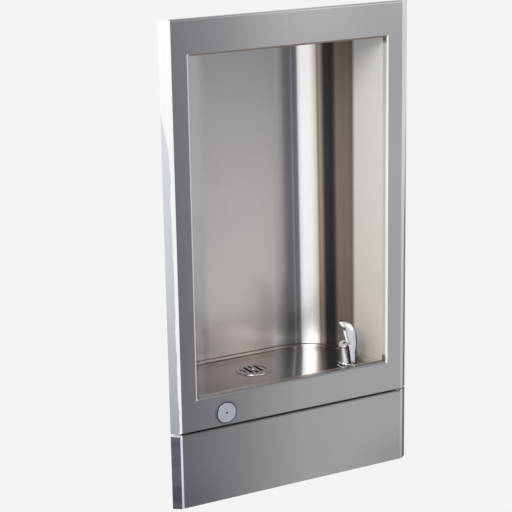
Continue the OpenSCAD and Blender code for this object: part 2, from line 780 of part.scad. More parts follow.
// Rubber gasket, slip washer and locknut under the floor
drain_gasket_t = 3;
drain_nut_h = 9;
drain_nut_over = 12;
drain_under = -alcove_t;
module drain_ring(top, t, r) {
    translate([0, 0, top - t]) difference() {
        cylinder(h = t, r = r);
        translate([0, 0, -cut]) cylinder(h = t + 2 * cut, r = drain_body_r + seat_gap);
    }
}
module drain_gasket() color([0.13, 0.13, 0.13]) at_drain()
    drain_ring(drain_under, drain_gasket_t, drain_flange_r);
module drain_washer() color([0.75, 0.7, 0.55]) at_drain()
    drain_ring(drain_under - drain_gasket_t, washer_t, drain_flange_r);
module drain_locknut() color([0.78, 0.66, 0.38]) at_drain()
    translate([0, 0, drain_under - drain_gasket_t - washer_t - drain_nut_h])
        hex_nut(2 * drain_body_r + drain_nut_over, drain_nut_h, drain_body_r + running_gap);

// Coupling nut and flanged tailpiece
coupling_h = 16;
coupling_lip = 4;
coupling_over = 10;
tail_wall = 1;
tail_flange_t = 2;
tail_neck_l = 12;
tail_neck_step = 0.4;
module drain_coupling_nut() color([0.78, 0.66, 0.38]) at_drain() {
    low = -drain_body_l - tail_flange_t - coupling_lip;
    translate([0, 0, low]) difference() {
        cylinder(h = coupling_h, r = (drain_body_r + coupling_over / 2) / cos(30), $fn = 6);
        translate([0, 0, coupling_lip])
            cylinder(h = coupling_h, r = drain_body_r + running_gap);
        translate([0, 0, -cut]) cylinder(h = coupling_h, r = tail_r + screw_gap);
    }
}
module tailpiece() color([0.8, 0.8, 0.8]) at_drain() {
    top = -drain_body_l;
    difference() {
        union() {
            translate([0, 0, top - tail_l]) cylinder(h = tail_l - tail_neck_l, r = tail_r);
            translate([0, 0, top - tail_l]) cylinder(h = tail_l, r = tail_r - tail_neck_step);
            translate([0, 0, top - tail_flange_t])
                cylinder(h = tail_flange_t, r = drain_body_r - screw_gap);
        }
        translate([0, 0, top - tail_l - cut])
            cylinder(h = tail_l + 2 * cut, r = tail_r - tail_wall);
    }
}

// Button and valve share one axis
module at_button() from_front() translate([button_x, 0, button_z]) children();

// Push button: a round plate with a skirt and a small hollow in the middle
button_t = 4;
button_edge = 0.8;
button_skirt = 1.6;
button_boss_wall = 2;
button_boss_r = rod_r + button_boss_wall;
sleeve_wall = 1;
sleeve_bore_r = sleeve_r - sleeve_wall;
button_dot_r = 1.7;
button_dot_d = 1.2;
module push_button() color([0.74, 0.76, 0.8]) at_button() difference() {
    union() {
        along_y(-button_proud, button_edge, button_r - button_edge, button_r);
        along_y(-button_proud + button_edge, button_t - button_edge, button_r);
        along_y(-button_proud + button_t, button_skirt, button_r);
        along_y(-button_proud + button_t, button_skirt + cut, button_boss_r);
    }
    along_y(-button_proud - cut, button_dot_d + cut, button_dot_r);
    difference() {
        along_y(-button_proud + button_t, button_skirt + cut, button_r - button_skirt);
        along_y(-button_proud + button_t - cut, button_skirt + 3 * cut, button_boss_r);
    }
}

// Bezel: thin ring on the face, threaded sleeve behind it, and a web that guides the rod
bezel_t = 0.8;
bezel_slant = 0.4;
web_t = 2;
module button_bezel() color([0.76, 0.77, 0.79]) at_button() difference() {
    union() {
        along_y(-bezel_t, bezel_t, bezel_r - bezel_slant, bezel_r);
        along_y(-cut / 4, sleeve_l + cut / 4, sleeve_r);
    }
    along_y(-bezel_t - cut, sleeve_l - web_t + bezel_t + cut, sleeve_bore_r);
    along_y(0, sleeve_l + cut, rod_r + running_gap);
}

// Nut that clamps the bezel to the face
button_nut_h = 6;
button_nut_over = 3;
module button_locknut() color([0.78, 0.66, 0.38]) at_button()
    translate([0, sheet_t, 0]) rotate([-90, 0, 0])
        hex_nut(2 * sleeve_r + button_nut_over, button_nut_h, sleeve_r + running_gap);

// Return spring of the button: one coiled wire with flat ends
spring_r = 11;
spring_wire_r = 0.6;
spring_turns = 5;
spring_rings = 12;
spring_sides = 6;
spring_y0 = -button_proud + button_t + spring_wire_r + seat_gap;
spring_y1 = sleeve_l - web_t - spring_wire_r - seat_gap;
module button_spring() color([0.6, 0.6, 0.62]) at_button() {
    count = spring_turns * spring_rings;
    points = [for (k = [0 : count], i = [0 : spring_sides - 1])
        let (a = 360 * k / spring_rings, b = 360 * i / spring_sides,
            r = spring_r + spring_wire_r * cos(b),
            y = spring_y0 + (spring_y1 - spring_y0) * k / count)
        [r * cos(a), y + spring_wire_r * sin(b), r * sin(a)]];
    faces = concat(
        [for (k = [0 : count - 1], i = [0 : spring_sides - 1])
            let (p = k * spring_sides, q = p + spring_sides, j = (i + 1) % spring_sides)
            each [[p + i, q + j, p + j], [p + i, q + i, q + j]]],
        [for (i = [1 : spring_sides - 2]) each [[0, i, i + 1],
            [count * spring_sides, count * spring_sides + i + 1, count * spring_sides + i]]]);
    polyhedron(points = points, faces = faces, convexity = 6);
}

// Valve: chambers along the button's axis
bonnet_l = 6;
bonnet_inset = 2;
valve_y0 = sleeve_l + bonnet_l;
valve_y1 = valve_y0 + valve_l;
outlet_y = bubbler_y;
outlet_to_seat = 4.4;
seat_y = outlet_y + outlet_to_seat;
seat_t = 2;
seat_step = 1.5;
seat_bore_r = rod_r + seat_step;
inlet_chamber_y = seat_y + seat_t;
inlet_to_seat = 9;
inlet_port_y = inlet_chamber_y + inlet_to_seat;
chamber_r = 9.5;
valve_wall = 3;
chamber_end = valve_y1 - valve_wall;
port_socket = 5;
seal_lift = 0.05;
seal_r = 8;
seal_t = 2;
port_l = 20;
port_boss_r = 8;
module valve_bonnet() color([0.78, 0.66, 0.38]) at_button()
    translate([0, sleeve_l, 0]) rotate([-90, 0, 0])
        hex_nut(2 * valve_r - bonnet_inset, bonnet_l, rod_r + running_gap);

regulator_y = outlet_y;
regulator_r = 2.6;
regulator_boss = 2.4;
regulator_boss_reach = 4;
regulator_boss_x = -valve_r - regulator_boss_reach;
module valve_body() color([0.8, 0.69, 0.42]) at_button() difference() {
    union() {
        along_y(valve_y0, valve_l, valve_r);
        translate([0, outlet_y, 0]) rotate([0, 90, 0]) cylinder(h = port_l, r = port_boss_r);
        translate([0, inlet_port_y, -port_l]) cylinder(h = port_l, r = port_boss_r);
        translate([regulator_boss_x, regulator_y, 0]) rotate([0, 90, 0])
            cylinder(h = valve_r, r = regulator_r + regulator_boss);
    }
    along_y(valve_y0 + valve_wall, seat_y - valve_y0 - valve_wall, chamber_r - seat_step);
    along_y(valve_y0 - cut, valve_wall + 2 * cut, rod_r + running_gap);
    along_y(seat_y - cut, seat_t + 2 * cut, seat_bore_r);
    along_y(inlet_chamber_y, chamber_end - inlet_chamber_y, chamber_r);
    translate([0, outlet_y, 0]) rotate([0, 90, 0]) cylinder(h = port_l + cut, r = tube_r - tube_wall);
    translate([port_l - port_socket, outlet_y, 0]) rotate([0, 90, 0])
        cylinder(h = port_socket + cut, r = port_r);
    translate([0, inlet_port_y, -port_l - cut]) cylinder(h = port_l, r = tube_r - tube_wall);
    translate([0, inlet_port_y, -port_l - cut]) cylinder(h = port_socket + cut, r = port_r);
    translate([regulator_boss_x - cut, regulator_y, 0]) rotate([0, 90, 0])
        cylinder(h = valve_r, r = regulator_r + running_gap);
}

// Push rod with the seal's holder at its end
rod_y0 = -button_proud + button_t + button_skirt + cut;
holder_y = inlet_chamber_y + seal_t + seal_lift;
holder_l = 4;
module push_rod() color([0.75, 0.76, 0.78]) at_button() {
    along_y(rod_y0, holder_y - rod_y0, rod_r);
    along_y(holder_y, holder_l, seal_r - seat_step);
}
module valve_seal() color([0.15, 0.15, 0.15]) at_button() difference() {
    along_y(inlet_chamber_y + seal_lift, seal_t, seal_r);
    along_y(inlet_chamber_y - cut, seal_t + 2 * cut, rod_r);
}

// Slotted screw that sets the height of the stream
regulator_l = 12;
regulator_head_h = 3;
regulator_head_over = 1.6;
module regulator_screw() color([0.7, 0.7, 0.68]) at_button()
    translate([regulator_boss_x - regulator_head_h, regulator_y, 0]) rotate([0, 90, 0])
        difference() {
            union() {
                cylinder(h = regulator_head_h - seat_gap, r = regulator_r + regulator_head_over);
                cylinder(h = regulator_l, r = regulator_r);
            }
            translate([-screw_slot_w / 2, -2 * regulator_r, -cut])
                cube([screw_slot_w, 4 * regulator_r, screw_slot_w + cut]);
        }

// Straight piece of tube along Z
module tube_run(length) {
    difference() {
        cylinder(h = length, r = tube_r);
        translate([0, 0, -cut]) cylinder(h = length + 2 * cut, r = tube_r - tube_wall);
    }
}
// Quarter turn from +Z towards +X, starting at the origin
module tube_turn() {
    translate([tube_bend_r, 0, 0]) rotate([90, 0, 180]) rotate_extrude(angle = 90)
        translate([tube_bend_r, 0]) difference() {
            circle(tube_r);
            circle(tube_r - tube_wall);
        }
}

// Tube from the valve, along under the basin and up into the bubbler's shank
outlet_x0 = button_x + port_l - port_socket + seat_gap;
outlet_low_z = 112;
outlet_first_l = 26;
bubbler_tube_top = shank_end + port_depth - seat_gap;
module outlet_tube() color([0.75, 0.5, 0.35]) from_front() translate([0, outlet_y, 0]) {
    turn_x = outlet_x0 + outlet_first_l;
    drop_x = turn_x + tube_bend_r;
    drop_l = button_z - outlet_low_z - 2 * tube_bend_r;
    rise_z = outlet_low_z + tube_bend_r;
    translate([outlet_x0, 0, button_z]) rotate([0, 90, 0]) tube_run(outlet_first_l);
    translate([drop_x, 0, button_z - tube_bend_r]) mirror([1, 0, 0]) tube_turn();
    translate([drop_x, 0, button_z - tube_bend_r - drop_l]) tube_run(drop_l);
    translate([drop_x, 0, outlet_low_z + tube_bend_r]) mirror([0, 0, 1]) tube_turn();
    translate([drop_x + tube_bend_r, 0, outlet_low_z]) rotate([0, 90, 0])
        tube_run(bubbler_x - drop_x - 2 * tube_bend_r);
    translate([bubbler_x, 0, rise_z]) mirror([1, 0, 0]) mirror([0, 0, 1]) tube_turn();
    translate([bubbler_x, 0, rise_z]) tube_run(bubbler_tube_top - rise_z);
}

// Supply: stop valve, line strainer and valve stand over each other
supply_y = inlet_port_y;
valve_port_z = button_z - port_l;
stop_boss_h = 16;
stop_boss_top = stop_z + stop_boss_h;
strainer_body_l = 22;
nut_spacing = 4;
strainer_low = stop_boss_top + 2 * nut_l + nut_spacing;
strainer_high = strainer_low + strainer_body_l;
strainer_bulge = 3.5;
module at_supply() from_front() translate([button_x, supply_y, 0]) children();
module inlet_tube() color([0.75, 0.5, 0.35]) at_supply() {
    low = strainer_high - port_socket + seat_gap;
    translate([0, 0, low]) tube_run(valve_port_z + port_socket - seat_gap - low);
}
module strainer_tube() color([0.75, 0.5, 0.35]) at_supply() {
    low = stop_boss_top - port_socket + seat_gap;
    translate([0, 0, low]) tube_run(strainer_low + port_socket - seat_gap - low);
}
module line_strainer() color([0.8, 0.69, 0.42]) at_supply() translate([0, 0, strainer_low])
    difference() {
        union() {
            cylinder(h = strainer_body_l, r = port_boss_r);
            translate([0, 0, strainer_body_l / 4])
                cylinder(h = strainer_body_l / 2, r = port_boss_r + strainer_bulge);
        }
        translate([0, 0, -cut]) cylinder(h = strainer_body_l + 2 * cut, r = tube_r - tube_wall);
        translate([0, 0, -cut]) cylinder(h = port_socket + cut, r = port_r);
        translate([0, 0, strainer_body_l - port_socket])
            cylinder(h = port_socket + cut, r = port_r);
    }

// Compression nuts on every tube end
module compression_nuts() color([0.8, 0.69, 0.42]) {
    at_supply() {
        for (z = [stop_boss_top, strainer_low - nut_l, strainer_high, valve_port_z - nut_l])
            translate([0, 0, z]) hex_nut(nut_flats, nut_l, port_r);
    }
    at_button() translate([port_l, outlet_y, 0]) rotate([0, 90, 0])
        hex_nut(nut_flats, nut_l, port_r);
    at_bubbler() translate([0, 0, shank_end - nut_l]) hex_nut(nut_flats, nut_l, port_r);
}

// Stop valve: level body, outlet upwards, inlet thread towards the wall
stop_r = 10;
stop_y0 = 24;
stop_y1 = 66;
inlet_l = 16;
stem_r = 3.5;
gland_l = 14;
stop_bore_r = 5.5;
inlet_bore_r = 7.5;
module stop_valve() color([0.8, 0.8, 0.81]) from_front()
    translate([button_x, 0, stop_z]) difference() {
        union() {
            along_y(stop_y0, stop_y1 - stop_y0, stop_r);
            along_y(stop_y1, inlet_l, inlet_r);
            translate([0, supply_y, 0]) cylinder(h = stop_boss_h, r = port_boss_r);
        }
        along_y(stop_y0 - cut, gland_l + cut, stem_r + running_gap);
        along_y(stop_y0 + gland_l, stop_y1 - stop_y0, stop_bore_r);
        along_y(stop_y1 - cut, inlet_l + 2 * cut, inlet_bore_r);
        translate([0, supply_y, 0])
            cylinder(h = stop_boss_h + cut, r = tube_r - tube_wall);
        translate([0, supply_y, stop_boss_h - port_socket])
            cylinder(h = port_socket + cut, r = port_r);
    }

// Stem, handle and screw turn together
handle_y = 12;
handle_t = 8;
handle_r = 9;
grip_share = 0.55;
stem_socket = 5;
stem_plug_l = 5;
handle_screw_r = 1.6;
handle_screw_head_r = 3;
handle_screw_head_h = 2;
handle_screw_proud = 0.5;
handle_recess_r = 3.2;
module stop_stem() color([0.78, 0.66, 0.38]) from_front() translate([button_x, 0, stop_z]) {
    stem_y0 = handle_y + handle_t - stem_socket;
    plug_y = stop_y0 + gland_l + 2 * seat_gap;
    along_y(stem_y0, plug_y + cut - stem_y0, stem_r);
    along_y(plug_y, stem_plug_l, stop_bore_r - screw_gap);
}
module stop_handle() color([0.82, 0.82, 0.83]) from_front()
    translate([button_x, 0, stop_z]) difference() {
        union() {
            along_y(handle_y, handle_t, handle_r);
            for (s = [-1, 1]) translate([s * handle_r, 0, 0])
                along_y(handle_y, handle_t, handle_r * grip_share);
            translate([-handle_r, handle_y, -handle_r * grip_share])
                cube([2 * handle_r, handle_t, 2 * handle_r * grip_share]);
        }
        along_y(handle_y + handle_t - stem_socket, stem_socket + cut, stem_r + running_gap);
        along_y(handle_y - cut, handle_t, handle_screw_r + running_gap);
        along_y(handle_y - cut, handle_screw_head_h - handle_screw_proud + cut, handle_recess_r);
    }
module handle_screw() color([0.7, 0.7, 0.68]) from_front() translate([button_x, 0, stop_z]) {
    under_head = handle_y - handle_screw_proud + handle_screw_head_h;
    along_y(handle_y - handle_screw_proud, handle_screw_head_h, handle_screw_head_r);
    along_y(under_head, handle_y + handle_t - stem_socket - under_head, handle_screw_r);
}

front_panel();
access_panel();
panel_screws();
panel_nuts();
panel_brackets();
mounting_frame();
frame_cleats();
hook_cleats();
fixing_tabs();
tab_screws();
alcove_wall();
alcove_ceiling();
basin();
bubbler_base();
bubbler_hood();
bubbler_nozzle();
bubbler_orifice();
bubbler_gasket();
bubbler_washer();
bubbler_locknut();
drain_flange();
drain_strainer();
strainer_screw();
drain_gasket();
drain_washer();
drain_locknut();
drain_coupling_nut();
tailpiece();
push_button();
button_bezel();
button_locknut();
button_spring();
push_rod();
valve_seal();
valve_bonnet();
valve_body();
regulator_screw();
outlet_tube();
inlet_tube();
strainer_tube();
compression_nuts();
line_strainer();
stop_valve();
stop_stem();
stop_handle();
handle_screw();
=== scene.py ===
import math

import bpy
from mathutils import Matrix, Vector


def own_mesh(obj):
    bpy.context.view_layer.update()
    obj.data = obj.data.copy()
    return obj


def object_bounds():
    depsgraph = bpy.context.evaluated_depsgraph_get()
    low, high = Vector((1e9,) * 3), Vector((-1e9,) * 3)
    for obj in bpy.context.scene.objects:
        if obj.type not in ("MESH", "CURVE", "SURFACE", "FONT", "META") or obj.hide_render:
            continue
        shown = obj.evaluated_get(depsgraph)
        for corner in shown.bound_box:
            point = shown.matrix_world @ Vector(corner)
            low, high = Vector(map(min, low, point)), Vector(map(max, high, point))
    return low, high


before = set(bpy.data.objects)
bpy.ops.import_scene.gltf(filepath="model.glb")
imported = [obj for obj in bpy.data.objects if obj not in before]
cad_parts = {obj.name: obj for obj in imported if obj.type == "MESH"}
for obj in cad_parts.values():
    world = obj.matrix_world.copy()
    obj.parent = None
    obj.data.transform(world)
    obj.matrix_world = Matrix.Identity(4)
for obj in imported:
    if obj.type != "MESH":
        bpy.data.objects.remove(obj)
cadBox = [list(corner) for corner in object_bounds()]
print("frame loaded:", len(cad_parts), "nodes")

# camera, solved from the corners of the face, the opening and the gap
view = dict(
    at=(-1.3407, -2.3631, 0.7463),
    right=(0.877482, -0.479314, -0.016807),
    down=(-0.141085, -0.224474, -0.964213),
    ahead=(0.458388, 0.848451, -0.264596),
    lens=119.34,
    sensor=36,
)


def makeCamera():
    lens = bpy.data.cameras.new("photoView")
    lens.lens, lens.sensor_width = view["lens"], view["sensor"]
    camera = bpy.data.objects.new("photoView", lens)
    bpy.context.scene.collection.objects.link(camera)
    axes = Matrix((view["right"], [-v for v in view["down"]], [-v for v in view["ahead"]]))
    camera.matrix_world = Matrix.Translation(view["at"]) @ axes.transposed().to_4x4()
    bpy.context.scene.camera = camera


class Wire:
    # a socket that reads as a number in an expression
    def __init__(self, wiring, socket):
        self.wiring, self.socket = wiring, socket

    def maths(self, operation, *values):
        return self.wiring.node("ShaderNodeMath", {"operation": operation}, dict(enumerate(values)))

    def __add__(self, other): return self.maths("ADD", self, other)
    def __sub__(self, other): return self.maths("SUBTRACT", self, other)
    def __rsub__(self, other): return self.maths("SUBTRACT", other, self)
    def __mul__(self, other): return self.maths("MULTIPLY", self, other)
    def __truediv__(self, other): return self.maths("DIVIDE", self, other)
    def __rtruediv__(self, other): return self.maths("DIVIDE", other, self)
    def __abs__(self): return self.maths("ABSOLUTE", self)
    __radd__, __rmul__ = __add__, __mul__

    def larger(self, other):
        return self.maths("MAXIMUM", self, other)

    def step(self, low, high):
        # 0 below low, 1 above high, smooth between; falls instead when low is the larger
        return self.wiring.node(
            "ShaderNodeMapRange", {"interpolation_type": "SMOOTHSTEP"},
            {"Value": self, "From Min": low, "From Max": high, "To Min": 0, "To Max": 1})

    def around(self, middle, half):
        # a step that rises within half of the middle
        return self.step(middle - half, middle + half)


def tone(*rgb):
    # a colour as seen, 0 to 255, as the linear colour that Blender wants
    return [((v / 255 + 0.055) / 1.055) ** 2.4 for v in rgb] + [1]


class Wiring:
    # makes and links the nodes of one tree
    def __init__(self, tree):
        self.tree = tree
        tree.nodes.clear()

    def feed(self, node, socket, value):
        if isinstance(value, Wire):
            self.tree.links.new(value.socket, node.inputs[socket])
        else:
            node.inputs[socket].default_value = value

    def node(self, kind, settings=None, inputs=None, out=0):
        node = self.tree.nodes.new(kind)
        for key, value in (settings or {}).items():
            if key == "stops":
                ramp = node.color_ramp
                while len(ramp.elements) < len(value):
                    ramp.elements.new(1)
                for element, (position, colour) in zip(ramp.elements, value):
                    element.position, element.color = position, colour
            else:
                setattr(node, key, value)
        for socket, value in (inputs or {}).items():
            self.feed(node, socket, value)
        return Wire(self, node.outputs[out]) if node.outputs else node

    def parts(self, vector):
        first = self.node("ShaderNodeSeparateXYZ", None, {0: vector})
        return [Wire(self, socket) for socket in first.socket.node.outputs]

    def seenDirectly(self):
        # 1 for the camera, for reflections and through glass, 0 as a light
        camera, glossy, through = (self.node("ShaderNodeLightPath", out=ray) for ray in
                                   ("Is Camera Ray", "Is Glossy Ray", "Is Transmission Ray"))
        return camera.larger(glossy).larger(through)


class Finish(Wiring):
    # one material: its shader, and the place on the object as three numbers
    def __init__(self, name, metallic=1.0):
        self.material = bpy.data.materials.new(name)
        self.material.use_nodes = True
        super().__init__(self.material.node_tree)
        skin = self.node("ShaderNodeBsdfPrincipled")
        self.shader = skin.socket.node
        self.node("ShaderNodeOutputMaterial", None, {0: skin})
        self.use(Metallic=metallic)
        self.spot = self.node("ShaderNodeTexCoord", out="Object")
        self.x, self.y, self.z = self.parts(self.spot)

    def use(self, **sockets):
        for socket, value in sockets.items():
            self.feed(self.shader, socket.replace("_", " "), value)

    def ramp(self, wire, stops):
        # a colour that follows a number
        return self.node("ShaderNodeValToRGB", {"stops": [(at, tone(*rgb)) for at, rgb in stops]}, {0: wire})

    def curve(self, wire, stops):
        # a number that follows another
        return self.node("ShaderNodeValToRGB", {"stops": [(at, (v, v, v, 1)) for at, v in stops]}, {0: wire})

    def mix(self, amount, first, second, how="MIX"):
        first, second = (tone(*c) if isinstance(c, tuple) else c for c in (first, second))
        return self.node("ShaderNodeMix", {"data_type": "RGBA", "blend_type": how},
                         {0: amount, 6: first, 7: second}, out=2)

    def shaded(self, base, change):
        # a colour made a little lighter or darker, by a number near 1
        grey = self.node("ShaderNodeCombineXYZ", None, {0: change, 1: change, 2: change})
        return self.mix(1.0, base, grey, "MULTIPLY")

    def noise(self, scale, detail=2.0, stretch=None, roughness=0.5, shift=(0, 0, 0)):
        vector = self.spot
        if stretch or any(shift):
            vector = self.node("ShaderNodeMapping", None,
                               {"Vector": self.spot, "Scale": stretch or (1, 1, 1), "Location": shift})
        return self.node("ShaderNodeTexNoise", None,
                         {"Vector": vector, "Scale": scale, "Detail": detail, "Roughness": roughness})

    def along(self, vector, direction):
        return self.node("ShaderNodeVectorMath", {"operation": "DOT_PRODUCT"}, {0: vector, 1: direction}, out=1)

    def facing(self, direction):
        # 1 where the surface faces the direction, -1 where it faces away
        return self.along(self.node("ShaderNodeTexCoord", out="Normal"), direction)

    def reach(self, across, onward):
        # distance from the point where both numbers are 0
        flat = self.node("ShaderNodeCombineXYZ", None, {0: across, 1: onward})
        return self.node("ShaderNodeVectorMath", {"operation": "LENGTH"}, {0: flat}, out=1)

    def bump(self, height, strength, distance):
        self.use(Normal=self.node("ShaderNodeBump", None,
                                  {"Height": height, "Strength": strength, "Distance": distance}))


studio = dict(
    backdrop=0.896,  # the photograph's pale background
    fill=0.62,       # how strongly the surroundings light the object
    floorDrop=0.75,  # how far the floor is below the fountain
    floorHalf=9,
    floorTone=(225, 225, 225),
    lamps=[
        # name, place, aim, size, power
        ("bigSoftLeft", (-2.2, -1.9, 1.9), (0, 0, 0), 1.8, 46),
        ("bigSoftRight", (1.9, -2.3, 1.1), (0, 0.05, 0), 1.5, 16),
        ("topSoft", (0.1, -1.3, 2.3), (0, 0.1, 0.2), 1.2, 14),
    ],
)


def makeLamps(scene):
    for name, at, aim, size, power in studio["lamps"]:
        lamp = bpy.data.lights.new(name, "AREA")
        lamp.shape, lamp.size, lamp.energy = "DISK", size, power
        holder = bpy.data.objects.new(name, lamp)
        scene.collection.objects.link(holder)
        holder.location = at
        holder.rotation_euler = (Vector(aim) - Vector(at)).to_track_quat("-Z", "Y").to_euler()
        holder.visible_camera = False


def makeSurroundings(scene):
    # white to the camera and to reflections, softer as a light
    world = scene.world or bpy.data.worlds.new("studio")
    scene.world = world
    world.use_nodes = True
    sky = Wiring(world.node_tree)
    strength = sky.seenDirectly() * (studio["backdrop"] - studio["fill"]) + studio["fill"]
    background = sky.node("ShaderNodeBackground", None, {"Color": (1, 1, 1, 1), "Strength": strength})
    sky.node("ShaderNodeOutputWorld", None, {0: background})


def makeFloor(scene):
    # far below the wall-hung fountain, as pale as the backdrop
    mesh = bpy.data.meshes.new("floor")
    half, z = studio["floorHalf"], cadBox[0][2] - studio["floorDrop"]
    corners = [(-half, -half, z), (half, -half, z), (half, half, z), (-half, half, z)]
    mesh.from_pydata(corners, [], [(0, 1, 2, 3)])
    floor = bpy.data.objects.new("floor", mesh)
    scene.collection.objects.link(floor)
    pale = bpy.data.materials.new("paleFloor")
    pale.use_nodes = True
    ground = Wiring(pale.node_tree)
    matt = ground.node("ShaderNodeBsdfDiffuse", None, {"Color": tone(*studio["floorTone"])})
    glow = ground.node("ShaderNodeEmission", None, {"Strength": studio["backdrop"]})
    both = ground.node("ShaderNodeMixShader", None, {0: ground.seenDirectly(), 1: matt, 2: glow})
    ground.node("ShaderNodeOutputMaterial", None, {0: both})
    mesh.materials.append(pale)


makeCamera()
bpy.context.scene.view_settings.view_transform = "Standard"
makeSurroundings(bpy.context.scene)
makeLamps(bpy.context.scene)
makeFloor(bpy.context.scene)
print("camera and studio ready")

faceLook = dict(
    flatHalf=0.2129,    # half width of the flat face, up to the bevels
    bevelBlur=0.0004,
    gapHeight=-0.2710,  # height of the gap over the access panel
    gapBlur=0.0005,
    # painted light and shade, as tones from left to right, from where on and over what width, and how they move
    # on with height
    across=[(0.0, (115, 114, 119)), (0.25, (136, 135, 139)), (0.5, (164, 163, 165)),
            (0.75, (168, 167, 169)), (1.0, (167, 166, 169))],
    leftEdge=0.215, width=0.43, climb=0.10,
    # places a little in shade: heights, places across and share
    topRight=((0.12, 0.38), (0.02, 0.19), 0.15),
    foot=((-0.32, -0.40), (0.08, 0.2), 0.15),
    panelLeft=((-0.270, -0.272), (-0.10, -0.20), 0.07),
    # painted shade on the bend along the top of the access panel
    bendHeights=(-0.2748, -0.2738), bendAcross=(-0.2, 0.1), bendLeft=(82, 81, 86), bendRight=(90, 89, 92),
    # brushing along the height, and slow changes of tone
    brush=(520, 520, 5), grain=0.10, cloud=0.10, cloudScale=5.0, cloudStretch=(1, 1, 0.5),
    roughness=0.34, roughGrain=0.12, metallic=0.92, bump=(0.10, 0.0004),
)
leftBevelLook = dict(
    # a painted white highlight along the bend and blue-grey painted reflections outside it; the band widens
    # twice on the way up
    white=(255, 255, 255), whiteEdge=0.2169, blur=0.0006,
    rippleScale=34.0, rippleStretch=(0.2, 0.2, 1), unevenness=0.0045,
    widens=[((-0.28, 0.15), 0.0021), ((0.18, 0.30), 0.013)],
    outer=[(0, (170, 176, 188)), (0.35, (206, 210, 220)), (0.7, (222, 225, 233)), (1, (246, 247, 250))],
    outerFrom=0.27, outerOver=0.68,
    # the panel's bevel has dark painted reflections, with a painted highlight line at the bend and along the
    # top
    panel=[(0.3, (82, 86, 99)), (0.5, (107, 110, 124)), (0.62, (94, 97, 112)), (0.72, (134, 138, 150))],
    line=(240, 240, 246), lineSide=(0.2168, 0.2158), lineHeights=(-0.2748, -0.2742),
)
rightBevelLook = dict(
    # a painted highlight along the bend, and a dark painted reflection outside it that narrows upwards
    edge=0.2222, climb=0.010, widens=((0, 0.3), 0.004), blur=0.0008, foot=0.402, height=0.81,
    light=[(0, (186, 185, 190)), (0.5, (206, 205, 210)), (1, (232, 232, 236))],
    dark=[(0, (76, 75, 84)), (0.5, (98, 98, 106)), (0.8, (160, 160, 167))],
)
mouthLook = dict(
    # painted highlights and shade on the folded edge round the opening, where it catches the light
    half=0.1860, low=-0.2172, high=0.3534, blur=0.0002,
    sideAcross=(-0.05, 0.17), left=(196, 196, 201), right=(246, 240, 233),
    fold=(0.016, 0.010), corner=(0.002, 0.004),
    sillDepths=(-0.0082, -0.0072), sillFront=(116, 115, 119), sill=(116, 109, 105), top=(118, 109, 103),
    dull=0.75, sillGloss=0.25,
)


def leftBevel(steel, side, upper):
    look = leftBevelLook
    ripple = steel.noise(look["rippleScale"], 2, look["rippleStretch"])
    edge = (ripple - 0.5) * look["unevenness"] + look["whiteEdge"]
    for heights, wider in look["widens"]:
        edge = edge + steel.z.step(*heights) * wider
    outer = steel.ramp((steel.z + look["outerFrom"]) / look["outerOver"], look["outer"])
    # a painted white highlight along the bend, painted reflections outside it
    face = steel.mix((side - edge).around(0, look["blur"]), look["white"], outer)
    # dark painted reflections on the panel's bevel, with a painted highlight line
    line = side.step(*look["lineSide"]).larger(steel.z.step(*look["lineHeights"]))
    panel = steel.mix(line, steel.ramp(ripple, look["panel"]), look["line"])
    return steel.mix(upper, panel, face)


def rightBevel(steel, side):
    look = rightBevelLook
    heights, wider = look["widens"]
    edge = steel.z * look["climb"] + look["edge"] + steel.z.step(*heights) * wider
    share = (steel.z + look["foot"]) / look["height"]
    # painted highlight along the bend, dark painted reflection outside it
    return steel.mix((side - edge).around(0, look["blur"]),
                     steel.ramp(share, look["light"]), steel.ramp(share, look["dark"]))


def mouthEdge(steel, side):
    # the folded edge's painted highlights and shade, where it is, and where it is the sill
    look = mouthLook
    half, low, high, blur = look["half"], look["low"], look["high"], look["blur"]
    inside = side.around(half, -blur) * steel.z.around(low, blur) * steel.z.around(high, -blur)
    sill = steel.z.step(*(low + v for v in look["fold"]))
    top = steel.z.step(*(high - v for v in look["fold"]))
    between = side.step(*(half - v for v in look["corner"]))
    # painted highlights on the fold's sides, painted shade on the sill and the top
    foldLight = steel.mix(steel.x.step(*look["sideAcross"]), look["left"], look["right"])
    sillLight = steel.mix(steel.y.step(*look["sillDepths"]), look["sillFront"], look["sill"])
    foldLight = steel.mix(sill * between, foldLight, sillLight)
    return steel.mix(top * between, foldLight, look["top"]), inside, sill


def faceSteel():
    steel = Finish("faceSteel")
    look = faceLook
    brush = steel.noise(1.0, 3, look["brush"], 0.6)
    cloud = steel.noise(look["cloudScale"], 2, look["cloudStretch"])
    side = abs(steel.x)
    # painted light and shade: lighter from left to right, and with height
    base = steel.ramp((steel.x + look["leftEdge"]) / look["width"] + steel.z * look["climb"], look["across"])
    upper = steel.z.around(look["gapHeight"], look["gapBlur"])
    bevel = side.around(look["flatHalf"], look["bevelBlur"])
    isRight = steel.x.around(0, 0.01)
    base = steel.mix(bevel, base, steel.mix(isRight, leftBevel(steel, side, upper), rightBevel(steel, side)))
    foldLight, inside, sill = mouthEdge(steel, side)
    base = steel.mix(inside, base, foldLight)
    # painted shade along the access panel's top bend
    bend = (1 - upper) * steel.z.step(*look["bendHeights"]) * (1 - bevel)
    bendShade = steel.mix(steel.x.step(*look["bendAcross"]), look["bendLeft"], look["bendRight"])
    base = steel.mix(bend, base, bendShade)
    shade = 0
    for across, (heights, places, share) in (
            (steel.x, look["topRight"]), (side, look["foot"]), (steel.x, look["panelLeft"])):
        shade = steel.z.step(*heights) * across.step(*places) * share + shade
    change = (brush - 0.5) * look["grain"] + (cloud - 0.5) * look["cloud"] + 1 - shade
    steel.use(Base_Color=steel.shaded(base, change),
              Roughness=look["roughness"] + (brush - 0.5) * look["roughGrain"],
              Metallic=look["metallic"] - inside * (mouthLook["dull"] - sill * mouthLook["sillGloss"]))
    steel.bump(brush, *look["bump"])
    return steel.material


